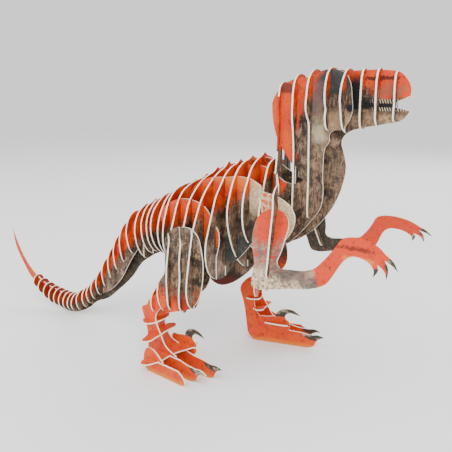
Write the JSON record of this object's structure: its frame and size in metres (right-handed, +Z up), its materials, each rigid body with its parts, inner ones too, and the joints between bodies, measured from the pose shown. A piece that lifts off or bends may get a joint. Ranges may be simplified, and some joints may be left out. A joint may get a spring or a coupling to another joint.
{
  "type": "slotted 3d dinosaur puzzle",
  "caption": "Walking raptor built from printed flat wooden boards that slot together: spine, side plates, cross ribs, arms and feet",
  "frame": {"origin": "on the floor, under the middle of the whole length and width", "axes": "+X towards the head, +Y to the animal's left, +Z up"},
  "size_m": [0.5314, 0.175, 0.302],
  "materials": {
    "spine_board": "1.5 mm board printed on both faces in mottled taupe and coral, near-white cut edges, matt",
    "plate_board": "1.5 mm board printed on both faces in coral orange turning to speckled taupe, near-white cut edges, matt",
    "rib_board": "1.5 mm board printed on both faces in deep orange above and grey brown below, near-white cut edges, matt",
    "limb_board": "1.5 mm board printed on both faces in bright orange with dark grey claws, near-white cut edges, matt"
  },
  "bodies": {
    "root": {"head_core": "spine_board", "body_core": "spine_board", "tail_core": "spine_board", "side_plate_r": "plate_board", "side_plate_l": "plate_board", "flank_plate_r": "plate_board", "flank_plate_l": "plate_board", "shoulder_plate_r": "plate_board", "shoulder_plate_l": "plate_board", "arm_r": "limb_board", "arm_l": "limb_board", "inner_thigh_r": "plate_board", "inner_thigh_l": "plate_board", "outer_thigh_r": "plate_board", "outer_thigh_l": "plate_board", "outer_toe_r": "limb_board", "outer_toe_l": "limb_board", "middle_toe_r": "limb_board", "middle_toe_l": "limb_board", "inner_toe_r": "limb_board", "inner_toe_l": "limb_board", "sickle_claw_r": "limb_board", "sickle_claw_l": "limb_board", "foot_board_r": "limb_board", "foot_board_l": "limb_board", "ankle_rings_r": "limb_board", "ankle_rings_l": "limb_board", "shin_ribs_r": "limb_board", "shin_ribs_l": "limb_board", "snout_rib_1": "rib_board", "snout_rib_2": "rib_board", "snout_rib_3": "rib_board", "cheek_rib": "rib_board", "throat_rib": "rib_board", "neck_rib_1": "rib_board", "neck_rib_2": "rib_board", "yoke_rib": "rib_board", "body_rib_1": "rib_board", "body_rib_2": "rib_board", "body_rib_3": "rib_board", "body_rib_4": "rib_board", "body_rib_5": "rib_board", "body_rib_6": "rib_board", "body_rib_7": "rib_board", "body_rib_8": "rib_board", "body_rib_9": "rib_board", "rump_rib_1": "rib_board", "rump_rib_2": "rib_board", "rump_rib_3": "rib_board", "rump_rib_4": "rib_board", "tail_rib_1": "rib_board", "tail_rib_2": "rib_board", "tail_rib_3": "rib_board", "tail_rib_4": "rib_board", "tail_rib_5": "rib_board", "tail_rib_6": "rib_board", "tail_rings": "rib_board"}
  },
  "joints": []
}
